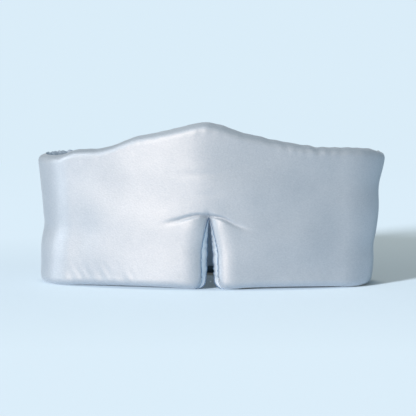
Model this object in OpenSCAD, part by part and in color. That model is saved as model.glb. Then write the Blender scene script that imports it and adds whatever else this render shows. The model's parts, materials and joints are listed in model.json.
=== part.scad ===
// Padded wraparound sleep eye mask. It stands on its bottom edge as a closed loop.
// Millimetres. X runs left to right, +Y from the front panel to the back of the head, +Z up.
// The origin is on the resting plane, at the middle of the loop's bounding box.

/* [Loop] */
// Overall width of the closed loop
mask_w = 244; // [236:1:252]
// Overall depth of the closed loop, front to back
loop_d = 80; // [76:1:84]
// Outer radius of the bend at each end
bend_r = 34; // [30:1:36]
// Where the end seam sits on the bend, in degrees past the widest point
seam_angle = 5; // [0:1:12]

/* [Front pad] */
// Height of the pad at its ends
edge_h = 95; // [90:1:100]
// How far the forehead peak rises above the ends
peak_rise = 20; // [12:1:24]
// Half of the width over which the top edge rises to the peak
peak_half_w = 90; // [70:1:100]
// Whole thickness of the pad
pad_t = 14; // [12:0.5:15]
// Thickness of each satin panel
satin_t = 1.2; // [0.8:0.1:1.4]
// Thickness of the blackout layer in the middle
blackout_t = 0.8; // [0.5:0.1:1]
// Thickness of the soft layer on the face side
face_pad_t = 3.6; // [3:0.1:5]
// Width of the binding that closes each end of the pad
end_seam_w = 2; // [1.5:0.1:3]

/* [Nose slit] */
// Height of the slit's apex above the bottom edge
slit_h = 50; // [44:1:54]
// Half of the slit's width between the two satin panels
slit_half_w = 5.6; // [5.4:0.1:7]
// Thickness of the facing that lines each side of the slit
facing_t = 2.4; // [2:0.1:2.5]
// Radius of the rounded bottom corners beside the slit
slit_corner_r = 7; // [5:1:9]

/* [Gathered sleeves] */
// Height of the sleeve's bottom edge
sleeve_z0 = 1; // [0.6:0.1:2]
// Height of the sleeve's top edge
sleeve_z1 = 92.5; // [88:0.5:94]
// Thickness of the sleeve's satin
sleeve_t = 0.8; // [0.6:0.1:0.9]
// Distance from the middle to where each sleeve ends and the strap begins
sleeve_end_x = 64; // [62:1:68]
// Width of the elastic band inside the sleeve
elastic_w = 70; // [60:1:76]

/* [Straps] */
// Height of the strap's bottom edge
strap_z0 = 3; // [2:0.5:5]
// Height of the strap's top edge
strap_z1 = 85; // [82:0.5:88]
// How far each strap reaches past the middle
strap_lap = 26; // [20:1:28]
// Radius of the rounded corners at the free ends
strap_corner_r = 12; // [8:1:16]
// Width of the strap core
core_w = 64; // [56:1:68]
// Length of core that runs into the sleeve
core_tongue = 24; // [22:1:25]
// Length of the finger pull past the strap's end
pull_len = 12; // [10:1:13]
// Height of the finger pull
pull_w = 30; // [24:1:40]

/* [Hook and loop] */
// Length of the loop pad
loop_len = 52; // [44:1:54]
// Length of the hook pad
hook_len = 38; // [30:1:40]
// Height of both pads
pad_w = 54; // [44:1:56]
// Width of the stitched border round each pad
stitch_w = 1; // [0.8:0.1:1.5]

/* [Hidden] */

$fn = 96;
LEFT = -1;
RIGHT = 1;

// Gap between two bodies that move against each other
body_gap = 0.3;
// The bends run this many degrees into the front arc, a hair thinner, so that the three make one solid
bend_lap_angle = 1;
bend_step = 0.02;
// Longer than anything it has to reach past
reach = 400;

// Plan of the loop: a wide front arc that runs smoothly into a bend at each end.
bend_x = mask_w / 2 - bend_r;
bend_y = loop_d / 2 - bend_r;
front_r = (bend_x * bend_x + (loop_d - bend_r) * (loop_d - bend_r) - bend_r * bend_r)
    / (2 * (loop_d - 2 * bend_r));
front_y = front_r - loop_d / 2;
back_y = loop_d / 2;
// Direction of the point where the front arc meets the right bend
meet_angle = atan2(bend_y - front_y, bend_x);
end_seam_angle = end_seam_w / bend_r * 180 / PI;
gap_angle = body_gap / bend_r * 180 / PI;

// Depths of the pad's layers, counted inwards from the outside of the loop
cover_d = satin_t;
lining_d = pad_t - satin_t;
face_pad_d = lining_d - face_pad_t;
blackout_d = face_pad_d - blackout_t;

// Depths of the closure's layers, counted the same way
strap_satin_t = 1;
core_t = 0.9;
fastener_t = 1;
right_core_d = sleeve_t + body_gap;
right_inner_d = right_core_d + core_t;
hook_d = right_inner_d + strap_satin_t;
right_end_d = hook_d + fastener_t;
loop_pad_d = right_end_d + body_gap;
left_outer_d = loop_pad_d + fastener_t;
left_core_d = left_outer_d + strap_satin_t;
left_inner_d = left_core_d + core_t;
sleeve_d = left_inner_d + body_gap + sleeve_t;
elastic_t = 1.4;
elastic_d = (sleeve_d - elastic_t) / 2;

strap_mid_z = (strap_z0 + strap_z1) / 2;
seam_strip_w = 4;
peak_steps = 28;
slit_v_h = 20;
slit_corner_steps = 6;
label_l = 12;
label_w = 22;
label_t = 0.5;

satin = [0.80, 0.86, 0.92];
satin_shade = [0.66, 0.73, 0.82];
wadding = [0.95, 0.95, 0.93];
blackout = [0.16, 0.18, 0.22];
elastic_white = [0.90, 0.91, 0.92];
binding = [0.60, 0.70, 0.84];
fastener_grey = [0.55, 0.63, 0.72];

// ---------- plan shapes ----------

// Draws its child on the right as it is, or mirrored on the left
module on_side(side) {
    if (side == RIGHT)
        children();
    else
        mirror([1, 0, 0])
            children();
}

// Part of a ring between two directions less than 180 degrees apart
module ring_part(r_out, r_in, from_a, to_a) {
    mid_a = (from_a + to_a) / 2;
    intersection() {
        difference() {
            circle(r = r_out, $fn = 180);
            circle(r = r_in, $fn = 180);
        }
        polygon([
            [0, 0],
            reach * [cos(from_a), sin(from_a)],
            2 * reach * [cos(mid_a), sin(mid_a)],
            reach * [cos(to_a), sin(to_a)]
        ]);
    }
}

// The front arc and both bends up to the end seams, between two depths
module pad_plan(d0, d1, past_a) {
    translate([0, front_y])
        ring_part(front_r - d0, front_r - d1, 180 - meet_angle, 360 + meet_angle);
    for (side = [LEFT, RIGHT])
        on_side(side)
            translate([bend_x, bend_y])
                ring_part(bend_r - d0 - bend_step, bend_r - d1 + bend_step,
                    meet_angle - bend_lap_angle, seam_angle - past_a);
}

// The short stretch of the right bend that the end binding covers
module end_seam_plan() {
    translate([bend_x, bend_y])
        ring_part(bend_r, bend_r - pad_t, seam_angle - end_seam_angle, seam_angle);
}

// The right sleeve: the rest of the bend, then straight along the back
module sleeve_plan(d0, d1) {
    translate([bend_x, bend_y])
        ring_part(bend_r - d0, bend_r - d1, seam_angle + gap_angle, 90);
    translate([sleeve_end_x + body_gap, back_y - d1])
        square([bend_x - sleeve_end_x - body_gap, d1 - d0]);
}

// ---------- front elevation ----------

function peak_share(x) = pow((1 + cos(180 * min(abs(x) / peak_half_w, 1))) / 2, 1.3);
function top_z(x) = edge_h + peak_rise * peak_share(x);

module pad_front() {
    polygon(concat(
        [[mask_w, 0], [mask_w, edge_h]],
        [for (i = [0 : peak_steps]) let (x = peak_half_w * (1 - 2 * i / peak_steps)) [x, top_z(x)]],
        [[-mask_w, edge_h], [-mask_w, 0]]
    ));
}

// The slit's right half: a narrow V, then straight to a rounded bottom corner
module half_slit(w) {
    polygon(concat(
        [[-0.01, -1], [-0.01, slit_h], [0, slit_h], [w, slit_h - slit_v_h]],
        [for (i = [0 : slit_corner_steps])
            let (a = 90 * i / slit_corner_steps)
                [w + slit_corner_r * (1 - cos(a)), slit_corner_r * (1 - sin(a))]],
        [[w + slit_corner_r, -1]]
    ));
}

module slit(w) {
    for (side = [LEFT, RIGHT])
        on_side(side)
            half_slit(w);
}

// Stands an elevation upright and gives it the whole depth of the loop
module through_loop() {
    translate([0, loop_d, 0])
        rotate([90, 0, 0])
            linear_extrude(2 * loop_d)
                children();
}

// ---------- front pad ----------

// One layer of the pad between two depths, cut to the front outline with its slit
module pad_layer(d0, d1) {
    intersection() {
        linear_extrude(edge_h + peak_rise + 1)
            pad_plan(d0, d1, end_seam_angle);
        through_loop()
            difference() {
                pad_front();
                slit(slit_half_w);
            }
    }
}

module front_cover() {
    color(satin) pad_layer(0, cover_d);
}

module front_padding() {
    color(wadding) pad_layer(cover_d, blackout_d);
}

module blackout_layer() {
    color(blackout) pad_layer(blackout_d, face_pad_d);
}

module face_padding() {
    color(wadding) pad_layer(face_pad_d, lining_d);
}

module face_lining() {
    color(satin_shade) pad_layer(lining_d, pad_t);
}

// Facing that lines one side of the nose slit through the pad's whole thickness
module slit_facing(side) {
    color(binding)
        intersection() {
            linear_extrude(slit_h)
                pad_plan(0, pad_t, end_seam_angle);
            through_loop()
                on_side(side)
                    difference() {
                        intersection() {
                            half_slit(slit_half_w);
                            square([mask_w, slit_h]);
                        }
                        half_slit(slit_half_w - facing_t);
                    }
        }
}

// Binding that closes the pad's end and carries the sleeve's seam
module end_seam(side) {
    color(binding)
        on_side(side)
            linear_extrude(edge_h)
                end_seam_plan();
}

// ---------- gathered sleeves ----------

// Outer satin panel with its edges turned in along the top and the bottom
module sleeve_outer(side) {
    color(satin)
        on_side(side) {
            translate([0, 0, sleeve_z0])
                linear_extrude(sleeve_z1 - sleeve_z0)
                    sleeve_plan(0, sleeve_t);
            for (z = [sleeve_z0, sleeve_z1 - sleeve_t])
                translate([0, 0, z])
                    linear_extrude(sleeve_t)
                        sleeve_plan(0, sleeve_d - sleeve_t);
        }
}

module sleeve_inner(side) {
    color(satin_shade)
        on_side(side)
            translate([0, 0, sleeve_z0])
                linear_extrude(sleeve_z1 - sleeve_z0)
                    sleeve_plan(sleeve_d - sleeve_t, sleeve_d);
}

module side_elastic(side) {
    color(elastic_white)
        on_side(side)
            translate([0, 0, (sleeve_z0 + sleeve_z1 - elastic_w) / 2])
                linear_extrude(elastic_w)
                    sleeve_plan(elastic_d, elastic_d + elastic_t);
}

// ---------- straps and closure ----------

// Upright slab on the back of the loop, between two X values, two depths and two heights
module back_slab(x0, x1, d0, d1, z0, z1) {
    translate([x0, back_y - d1, z0])
        cube([x1 - x0, d1 - d0, z1 - z0]);
}

// The same slab with rounded corners at its x0 end
module rounded_slab(x0, x1, d0, d1, z0, z1, r) {
    back_slab(x0 + r, x1, d0, d1, z0, z1);
    back_slab(x0, x0 + r, d0, d1, z0 + r, z1 - r);
    for (z = [z0 + r, z1 - r])
        translate([x0 + r, back_y - d0, z])
            rotate([90, 0, 0])
                cylinder(r = r, h = d1 - d0);
}

// One satin face of the right strap. The left strap is the same shape, mirrored.
module strap_face(d0, d1) {
    rounded_slab(-strap_lap, sleeve_end_x - seam_strip_w, d0, d1, strap_z0, strap_z1, strap_corner_r);
}

module strap_core(d0, d1) {
    back_slab(-strap_lap + strap_corner_r, sleeve_end_x + core_tongue, d0, d1,
        strap_mid_z - core_w / 2, strap_mid_z + core_w / 2);
}

// Strip where the strap is sewn to the sleeve. The core passes through it.
module strap_seam(d0, d1, core_d) {
    difference() {
        back_slab(sleeve_end_x - seam_strip_w, sleeve_end_x, d0, d1, strap_z0, strap_z1);
        strap_core(core_d, core_d + core_t);
    }
}

// Hook or loop pad, centred at x
module fastener(x, len, d0) {
    back_slab(x - len / 2 + stitch_w, x + len / 2 - stitch_w, d0, d0 + fastener_t,
        strap_mid_z - pad_w / 2 + stitch_w, strap_mid_z + pad_w / 2 - stitch_w);
}

// Stitched border that holds a hook or loop pad down
module fastener_stitching(x, len, d0) {
    difference() {
        back_slab(x - len / 2, x + len / 2, d0, d0 + fastener_t,
            strap_mid_z - pad_w / 2, strap_mid_z + pad_w / 2);
        fastener(x, len, d0);
    }
}

module left_strap_outer() {
    color(satin) mirror([1, 0, 0]) strap_face(left_outer_d, left_core_d);
}

module left_strap_core() {
    color(elastic_white) mirror([1, 0, 0]) strap_core(left_core_d, left_inner_d);
}

module left_strap_inner() {
    color(satin_shade) mirror([1, 0, 0]) strap_face(left_inner_d, sleeve_d);
}

module left_strap_seam() {
    color(binding) mirror([1, 0, 0]) strap_seam(loop_pad_d, sleeve_d, left_core_d);
}

module loop_pad() {
    color(fastener_grey) fastener(-1, loop_len, loop_pad_d);
}

module loop_pad_stitching() {
    color(binding) fastener_stitching(-1, loop_len, loop_pad_d);
}

// Blank label sewn flat on the inside of the left strap
module care_label() {
    color("white")
        back_slab(-sleeve_end_x + 2 * seam_strip_w, -sleeve_end_x + 2 * seam_strip_w + label_l,
            sleeve_d, sleeve_d + label_t, strap_z0 + 6, strap_z0 + 6 + label_w);
}

module right_strap_outer() {
    color(satin) strap_face(0, right_core_d);
}

module right_strap_core() {
    color(elastic_white) strap_core(right_core_d, right_inner_d);
}

module right_strap_inner() {
    color(satin_shade) strap_face(right_inner_d, hook_d);
}

module right_strap_seam() {
    color(binding) strap_seam(0, right_end_d, right_core_d);
}

module hook_pad() {
    color(fastener_grey) fastener(-strap_lap + 3 + hook_len / 2, hook_len, hook_d);
}

module hook_pad_stitching() {
    color(binding) fastener_stitching(-strap_lap + 3 + hook_len / 2, hook_len, hook_d);
}

// Finger pull past the end of the right strap
module pull_tip() {
    color(binding)
        rounded_slab(-strap_lap - pull_len, -strap_lap - body_gap, 0, hook_d,
            strap_mid_z - pull_w / 2, strap_mid_z + pull_w / 2, 6);
}

front_cover();
front_padding();
blackout_layer();
face_padding();
face_lining();
slit_facing(LEFT);  // slit_facing_left
slit_facing(RIGHT);  // slit_facing_right
end_seam(LEFT);  // end_seam_left
end_seam(RIGHT);  // end_seam_right
sleeve_outer(LEFT);  // left_sleeve_outer
sleeve_inner(LEFT);  // left_sleeve_inner
side_elastic(LEFT);  // left_side_elastic
sleeve_outer(RIGHT);  // right_sleeve_outer
sleeve_inner(RIGHT);  // right_sleeve_inner
side_elastic(RIGHT);  // right_side_elastic
left_strap_outer();
left_strap_core();
left_strap_inner();
left_strap_seam();
loop_pad();
loop_pad_stitching();
care_label();
right_strap_outer();
right_strap_core();
right_strap_inner();
right_strap_seam();
hook_pad();
hook_pad_stitching();
pull_tip();
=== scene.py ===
"""Padded wraparound satin sleep mask, standing as a closed loop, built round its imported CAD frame."""

import json
import math

import bmesh
import bpy
import numpy as np
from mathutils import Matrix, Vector

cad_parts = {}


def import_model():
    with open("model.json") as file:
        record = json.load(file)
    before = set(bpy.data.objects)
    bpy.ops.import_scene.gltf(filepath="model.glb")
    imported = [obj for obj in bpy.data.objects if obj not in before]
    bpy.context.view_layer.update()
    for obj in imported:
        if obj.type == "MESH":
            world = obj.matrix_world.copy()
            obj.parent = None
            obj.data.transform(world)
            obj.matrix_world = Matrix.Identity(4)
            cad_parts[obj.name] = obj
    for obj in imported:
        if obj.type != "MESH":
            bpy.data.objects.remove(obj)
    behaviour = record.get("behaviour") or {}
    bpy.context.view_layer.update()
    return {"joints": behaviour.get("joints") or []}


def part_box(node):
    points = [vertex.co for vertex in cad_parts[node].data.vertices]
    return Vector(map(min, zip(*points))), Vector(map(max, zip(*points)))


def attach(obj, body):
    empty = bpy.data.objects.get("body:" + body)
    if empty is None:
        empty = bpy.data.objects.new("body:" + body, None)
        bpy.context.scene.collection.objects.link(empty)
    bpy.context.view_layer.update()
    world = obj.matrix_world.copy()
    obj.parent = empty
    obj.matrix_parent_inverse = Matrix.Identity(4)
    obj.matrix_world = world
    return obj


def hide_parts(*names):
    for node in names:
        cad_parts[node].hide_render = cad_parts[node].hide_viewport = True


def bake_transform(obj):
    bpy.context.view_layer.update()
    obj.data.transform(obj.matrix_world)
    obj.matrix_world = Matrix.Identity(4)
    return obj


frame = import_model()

MM = 0.001
LEFT, RIGHT = -1, 1
SIDE_NAMES = {LEFT: "left", RIGHT: "right"}

# ---------- sizes, in metres ----------

HALF_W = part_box("front_cover")[1].x
BACK_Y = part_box("right_strap_outer")[1].y
SLIT_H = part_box("slit_facing_left")[1].z
STRAP_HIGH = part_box("right_strap_outer")[1].z
STRAP_END_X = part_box("right_strap_seam")[1].x
STRAP_TIP_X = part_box("right_strap_outer")[0].x

SWING = next(j for j in frame["joints"] if j["name"] == "right_side_swing")
SEAM_ANGLE = math.radians(5)

# Plan of the loop's outside: a front arc, a bend at each end, and a straight back.
BEND_R = (BACK_Y - SWING["pos_m"][1]) / (1 - math.sin(SEAM_ANGLE))
BEND_X = HALF_W - BEND_R
BEND_Y = BACK_Y - BEND_R
LOOP_D = 2 * BACK_Y
FRONT_R = (BEND_X**2 + (LOOP_D - BEND_R) ** 2 - BEND_R**2) / (2 * (LOOP_D - 2 * BEND_R))
FRONT_Y = FRONT_R - BACK_Y
MEET_ANGLE = math.atan2(BEND_Y - FRONT_Y, BEND_X)
FRONT_U = FRONT_R * (MEET_ANGLE + math.pi / 2)
BEND_U = BEND_R * (math.pi / 2 - MEET_ANGLE)
SEAM_U = FRONT_U + BEND_R * (SEAM_ANGLE - MEET_ANGLE)
BACK_U = FRONT_U + BEND_U
STRAP_U = BACK_U + BEND_X - STRAP_END_X


def plan(u):
    """The loop's outside at arc length u from the front's middle: x, y and the outward normal."""
    a = np.abs(u)
    side = np.where(u < 0, -1.0, 1.0)
    front_angle = a / FRONT_R - math.pi / 2
    bend_angle = MEET_ANGLE + (a - FRONT_U) / BEND_R
    on_front, on_back = a < FRONT_U, a > BACK_U
    angle = np.where(on_front, front_angle, np.where(on_back, math.pi / 2, bend_angle))
    radius = np.where(on_front, FRONT_R, BEND_R)
    centre_x = np.where(on_front, 0.0, np.where(on_back, BEND_X - (a - BACK_U), BEND_X))
    centre_y = np.where(on_front, FRONT_Y, BEND_Y)
    nx, ny = np.cos(angle), np.sin(angle)
    return side * (centre_x + radius * nx), centre_y + radius * ny, side * nx, ny


def place(u, z, d):
    """Points at arc length u, height z and depth d inwards from the loop's outside."""
    u, z, d = np.broadcast_arrays(u, z, d)
    x, y, nx, ny = plan(u)
    return np.stack([x - d * nx, y - d * ny, z], -1)


def place_grid(side, grid):
    """The same for a grid of arc lengths, heights and depths on one side of the loop."""
    return place(side * grid[..., 0], grid[..., 1], grid[..., 2])


def smooth(x, low, high):
    """0 up to low, 1 from high, and eased between."""
    t = np.clip((x - low) / (high - low), 0, 1)
    return t * t * (3 - 2 * t)


def puff(distance, radius, fullness=2.3):
    """Share of the full thickness at a distance from a seam, rounded like a stuffed edge."""
    t = 1 - np.clip(distance / radius, 0, 1)
    return (1 - t**fullness) ** (1 / fullness)


def wander(x, y, seed):
    """Smooth, repeatable noise between about -1 and 1, with features about one unit across."""
    waves = 7
    rng = np.random.default_rng(seed)
    total = 0
    for angle, phase, rate in rng.random((waves, 3)):
        k = 2 * math.pi * (0.5 + rate)
        total = total + np.sin(
            k * (x * math.cos(angle * math.pi) + y * math.sin(angle * math.pi)) + phase * 2 * math.pi
        )
    return total / math.sqrt(waves)


def curve_through(x, points):
    """A smooth curve through given points, with no overshoot between them."""
    px, py = (np.array(c, float) for c in zip(*points))
    i = np.clip(np.searchsorted(px, x) - 1, 0, len(px) - 2)
    t = np.clip((x - px[i]) / (px[i + 1] - px[i]), 0, 1)
    slope = np.gradient(py, px)
    span = px[i + 1] - px[i]
    a, b = slope[i] * span, slope[i + 1] * span
    h = py[i + 1] - py[i]
    return py[i] + a * t + (3 * h - 2 * a - b) * t**2 + (a + b - 2 * h) * t**3


def lengths_along(points):
    """How far along a line of points each one is."""
    return np.concatenate([[0], np.cumsum(np.linalg.norm(np.diff(points, axis=0), axis=1))])


def bell(value, middle, width):
    return np.exp(-(((value - middle) / width) ** 2))


# ---------- mesh building ----------

WELD_DISTANCE = 1e-6
TINY_EDGE = 1e-7
THREAD_SIDES = 6


def new_object(name, data):
    obj = bpy.data.objects.new(name, data)
    bpy.context.scene.collection.objects.link(obj)
    return obj


def mesh_object(name, points, faces, tags=None):
    mesh = bpy.data.meshes.new(name)
    mesh.from_pydata([tuple(p) for p in points], [], [tuple(int(i) for i in f) for f in faces])
    mesh.update()
    if tags is not None:
        tag = mesh.attributes.new("piece", "INT", "FACE")
        tag.data.foreach_set("value", np.array(tags, np.int32))
    bm = bmesh.new()
    bm.from_mesh(mesh)
    bmesh.ops.remove_doubles(bm, verts=bm.verts, dist=WELD_DISTANCE)
    bmesh.ops.dissolve_degenerate(bm, dist=TINY_EDGE, edges=bm.edges)
    bmesh.ops.recalc_face_normals(bm, faces=bm.faces)
    bm.to_mesh(mesh)
    bm.free()
    mesh.shade_smooth()
    return new_object(name, mesh)


def grid_faces(rows, cols, start=0, flip=False):
    r, c = np.meshgrid(np.arange(rows - 1), np.arange(cols - 1), indexing="ij")
    a = start + r * cols + c
    quads = np.stack([a, a + 1, a + cols + 1, a + cols], -1).reshape(-1, 4)
    return quads[:, ::-1] if flip else quads


class Patchwork:
    """Grids of points that are welded into one mesh, each with a tag for the piece it belongs to."""

    def __init__(self):
        self.points, self.faces, self.tags = [], [], []
        self.count = 0

    def add(self, grid, tag=0, flip=False):
        rows, cols = grid.shape[:2]
        quads = grid_faces(rows, cols, self.count, flip)
        self.points.append(grid.reshape(-1, 3))
        self.faces.append(quads)
        self.tags.append(np.full(len(quads), tag))
        self.count += rows * cols

    def add_rim(self, front, back, edges=(np.s_[0, :], np.s_[-1, :], np.s_[:, 0], np.s_[:, -1])):
        """Strips that join two grids of one size along their edges."""
        for edge in edges:
            self.add(np.stack([front[edge], back[edge]], 1))

    def build(self, name):
        return mesh_object(
            name, np.concatenate(self.points), np.concatenate(self.faces), np.concatenate(self.tags)
        )


def closed_shell(name, front, back):
    """One closed mesh from two facing grids of one size."""
    work = Patchwork()
    work.add(front)
    work.add(back)
    work.add_rim(front, back)
    return work.build(name)


def keep_tag(source, name, tag):
    """A copy of source with only the faces of one tag."""
    obj = new_object(name, source.data.copy())
    obj.data.name = name
    bm = bmesh.new()
    bm.from_mesh(obj.data)
    layer = bm.faces.layers.int["piece"]
    bmesh.ops.delete(bm, geom=[f for f in bm.faces if f[layer] != tag], context="FACES")
    bm.to_mesh(obj.data)
    bm.free()
    return obj


def subdivide(obj):
    """Applies one level of subdivision."""
    modifier = obj.modifiers.new("Subdivision", "SUBSURF")
    modifier.levels = modifier.render_levels = 1
    depsgraph = bpy.context.evaluated_depsgraph_get()
    made = bpy.data.meshes.new_from_object(obj.evaluated_get(depsgraph))
    obj.modifiers.clear()
    obj.data = made
    made.shade_smooth()
    return obj


def thread_along(line, reference, radius, first=0):
    """Rings of points round a line, and the faces of the thread that they make.
    reference is any direction across the line; first is the number of the first point."""
    tangent = np.gradient(line, axis=0)
    tangent /= np.linalg.norm(tangent, axis=1)[:, None]
    across = np.cross(tangent, reference)
    across /= np.linalg.norm(across, axis=1)[:, None]
    up = np.cross(across, tangent)
    around = np.linspace(0, 2 * math.pi, THREAD_SIDES, endpoint=False)[None, :, None]
    rings = line[:, None] + radius * (np.cos(around) * across[:, None] + np.sin(around) * up[:, None])
    starts = first + THREAD_SIDES * np.arange(len(line))
    faces = []
    for a, b in zip(starts[:-1], starts[1:]):
        for k in range(THREAD_SIDES):
            m = (k + 1) % THREAD_SIDES
            faces.append((a + k, a + m, b + m, b + k))
    ends = [tuple(start + k for k in range(THREAD_SIDES)) for start in starts[[0, -1]]]
    faces += [ends[0][::-1], ends[1]]
    return rings.reshape(-1, 3), faces


# ---------- materials ----------

QUARTER_TURN = 0.25
# The wave texture's scale divides by about this much to give one rib per unit
WAVE_BANDS_PER_UNIT = 20


def new_material(name):
    material = bpy.data.materials.new(name)
    material.use_nodes = True
    nodes = material.node_tree.nodes
    return material, nodes, nodes["Principled BSDF"]


def set_values(target, **values):
    """Sets a node's own settings, and its inputs by their names with _ for a space."""
    for key, value in values.items():
        if hasattr(target, key):
            setattr(target, key, value)
        else:
            target.inputs[key.replace("_", " ")].default_value = value


def node(nodes, kind, **values):
    made = nodes.new(kind)
    set_values(made, **values)
    return made


def wire(source, output, target, socket):
    source.id_data.links.new(source.outputs[output], target.inputs[socket])


def mapped(nodes, rotation=(0, 0, 0), scale=(1, 1, 1)):
    """Object coordinates, turned and scaled."""
    coordinate = node(nodes, "ShaderNodeTexCoord")
    mapping = node(nodes, "ShaderNodeMapping", Rotation=rotation, Scale=scale)
    wire(coordinate, "Object", mapping, "Vector")
    return mapping


def two_tones(nodes, shader, source, output, dark, light, low=0.0, high=1.0):
    """Colours a material from dark to light as an output goes from low to high."""
    ramp = node(nodes, "ShaderNodeValToRGB")
    for step, at, colour in zip(ramp.color_ramp.elements, (low, high), (dark, light)):
        step.position = at
        step.color = (*colour, 1)
    wire(source, output, ramp, "Fac")
    wire(ramp, "Color", shader, "Base Color")


def raise_relief(nodes, shader, source, strength, depth):
    bump = node(nodes, "ShaderNodeBump", Strength=strength, Distance=depth)
    wire(source, "Fac", bump, "Height")
    wire(bump, "Normal", shader, "Normal")


def fabric(name, light, dark, roughness, grain, grain_depth, metallic=0.0, sheen=0.2, streak=(1, 1, 1),
           gloss_spread=0.0):
    """Woven cloth: colour that drifts between two tones, and a fine thread relief.
    grain is the threads' width in metres; streak stretches the threads, as satin floats do.
    gloss_spread draws the gloss out up and down, across floats that run round the loop."""
    material, nodes, shader = new_material(name)
    if gloss_spread:
        set_values(shader, Anisotropic=gloss_spread, Anisotropic_Rotation=QUARTER_TURN)
        tangent = node(nodes, "ShaderNodeTangent", direction_type="RADIAL", axis="Z")
        wire(tangent, "Tangent", shader, "Tangent")
    set_values(shader, Roughness=roughness, Metallic=metallic, Sheen_Weight=sheen, Sheen_Roughness=0.4)
    turned = mapped(nodes, rotation=(0, math.radians(28), 0))
    drift = node(nodes, "ShaderNodeTexNoise", Scale=38.0, Detail=3.0, Roughness=0.5)
    wire(turned, "Vector", drift, "Vector")
    floats = mapped(nodes, rotation=(0, math.radians(38), 0), scale=streak)
    threads = node(nodes, "ShaderNodeTexNoise", Scale=0.5 / grain, Detail=2.0, Roughness=0.6)
    wire(floats, "Vector", threads, "Vector")
    both = node(nodes, "ShaderNodeMix", data_type="FLOAT")
    both.inputs["Factor"].default_value = 0.5
    wire(drift, "Fac", both, "A")
    wire(threads, "Fac", both, "B")
    two_tones(nodes, shader, both, "Result", dark, light, 0.34, 0.66)
    raise_relief(nodes, shader, threads, 0.5, grain_depth)
    return material


def ribbed(name, light, dark, pitch):
    """Woven elastic: ribs that run along the band."""
    material, nodes, shader = new_material(name)
    set_values(shader, Roughness=0.8, Sheen_Weight=0.2)
    scale = 1 / (pitch * WAVE_BANDS_PER_UNIT)
    ribs = node(nodes, "ShaderNodeTexWave", bands_direction="Z", Scale=scale, Distortion=0.4)
    wire(mapped(nodes), "Vector", ribs, "Vector")
    two_tones(nodes, shader, ribs, "Fac", dark, light)
    raise_relief(nodes, shader, ribs, 0.6, 0.3 * MM)
    return material


SATIN = fabric(
    "satin", (0.60, 0.66, 0.72), (0.49, 0.56, 0.63), 0.5, 0.45 * MM, 0.2 * MM,
    metallic=0.42, sheen=0.35, streak=(0.7, 0.7, 1), gloss_spread=0.6,
)
# The face-side satin is the same cloth as the front; its darker tone is painted shade for the shaded inside
# of the loop.
LINING = fabric(
    "satin_lining", (0.50, 0.59, 0.69), (0.46, 0.55, 0.65), 0.5, 0.35 * MM, 0.12 * MM,
    metallic=0.3, sheen=0.2, streak=(0.3, 0.3, 1), gloss_spread=0.5,
)
BINDING = fabric(
    "binding", (0.76, 0.86, 0.94), (0.69, 0.80, 0.89), 0.5, 0.3 * MM, 0.1 * MM,
    metallic=0.05, sheen=0.2, streak=(1, 1, 0.3),
)
THREAD = fabric("thread", (0.17, 0.29, 0.45), (0.13, 0.23, 0.38), 0.5, 0.2 * MM, 0.05 * MM)
# Dark navy for the roll at the straps' foot: painted shade, standing for the deep shade there.
PAINTED_SHADE_HEM = fabric("hem_painted_shade", (0.060, 0.095, 0.125), (0.040, 0.068, 0.095), 0.8, 0.4 * MM, 0.1 * MM)
WADDING = fabric("wadding", (0.90, 0.90, 0.88), (0.80, 0.80, 0.78), 0.95, 0.8 * MM, 0.5 * MM, sheen=0.5)
BLACKOUT = fabric("blackout", (0.020, 0.022, 0.026), (0.012, 0.013, 0.016), 0.9, 0.4 * MM, 0.1 * MM)
ELASTIC = ribbed("elastic", (0.78, 0.80, 0.82), (0.60, 0.63, 0.66), 1.1 * MM)
LOOP = fabric("loop_pile", (0.42, 0.52, 0.62), (0.30, 0.39, 0.48), 0.95, 0.5 * MM, 0.6 * MM, sheen=0.8)
HOOK = fabric("hook_tape", (0.40, 0.50, 0.60), (0.28, 0.36, 0.45), 0.55, 0.6 * MM, 0.3 * MM)
LABEL = fabric("label", (0.85, 0.87, 0.89), (0.80, 0.82, 0.85), 0.5, 0.3 * MM, 0.04 * MM, sheen=0.2)


def finish_piece(obj, material, body, nodes_stood_for=()):
    """Gives a piece its material and body, and hides the CAD nodes it stands for."""
    obj.data.materials.clear()
    obj.data.materials.append(material)
    if body:
        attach(obj, body)
    if nodes_stood_for:
        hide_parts(*nodes_stood_for)
    return obj


# ---------- front pad ----------

# Height of the pad's top edge across its width, x then z in millimetres
TOP_EDGE = [
    (-124, 90), (-118, 90.2), (-112, 90.4), (-104, 91.6), (-94, 94.6), (-76, 96.2), (-66, 98.5), (-52, 104),
    (-33, 108), (-16, 112), (-4, 114.5), (8, 113), (22, 108), (38, 104.3), (52, 101.4), (66, 98.6),
    (90, 97), (106, 96.3), (113, 96), (119, 93.8), (124, 92),
]
# Height of its bottom edge: the lobes beside the slit and both ends rest, the rest arches a little
BOTTOM_EDGE = [
    (-124, 0.3), (-105, 0.2), (-85, 0.9), (-50, 1.3), (-28, 0.8), (-12, 0), (0, 0), (12, 0),
    (28, 1.0), (60, 1.4), (90, 0.8), (110, 0.3), (124, 0.3),
]
SLIT_FRONT = 5.9 * MM
SLIT_BACK = 2.8 * MM
SLIT_FRONT_V = 24 * MM
SLIT_BACK_V = 38 * MM
SLIT_CORNER_R = 7.5 * MM
APEX_ROW_SHARE = 0.435
PAD_ROWS = 96
STRIP_COLS = 6
PAD_SPACING = 1.9 * MM
FINE_SPACING = 0.55 * MM
SEAM_HALF = 0.5 * MM
# How far the front stands out along its middle, where the mask folds over the nose
RIDGE = 2.2 * MM
# How thick the pad's front and face halves are at the middle, and how much thinner at the ends
FRONT_THICK, FRONT_THINS = 7.9, 3.2
FACE_THICK, FACE_THINS = 6.6, 2.4
# How far in from the top edge, the bottom edge and the end seams the pad reaches that thickness
TOP_ROUND, BOTTOM_ROUND, END_ROUND = 5.5 * MM, 6 * MM, 9 * MM
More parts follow.
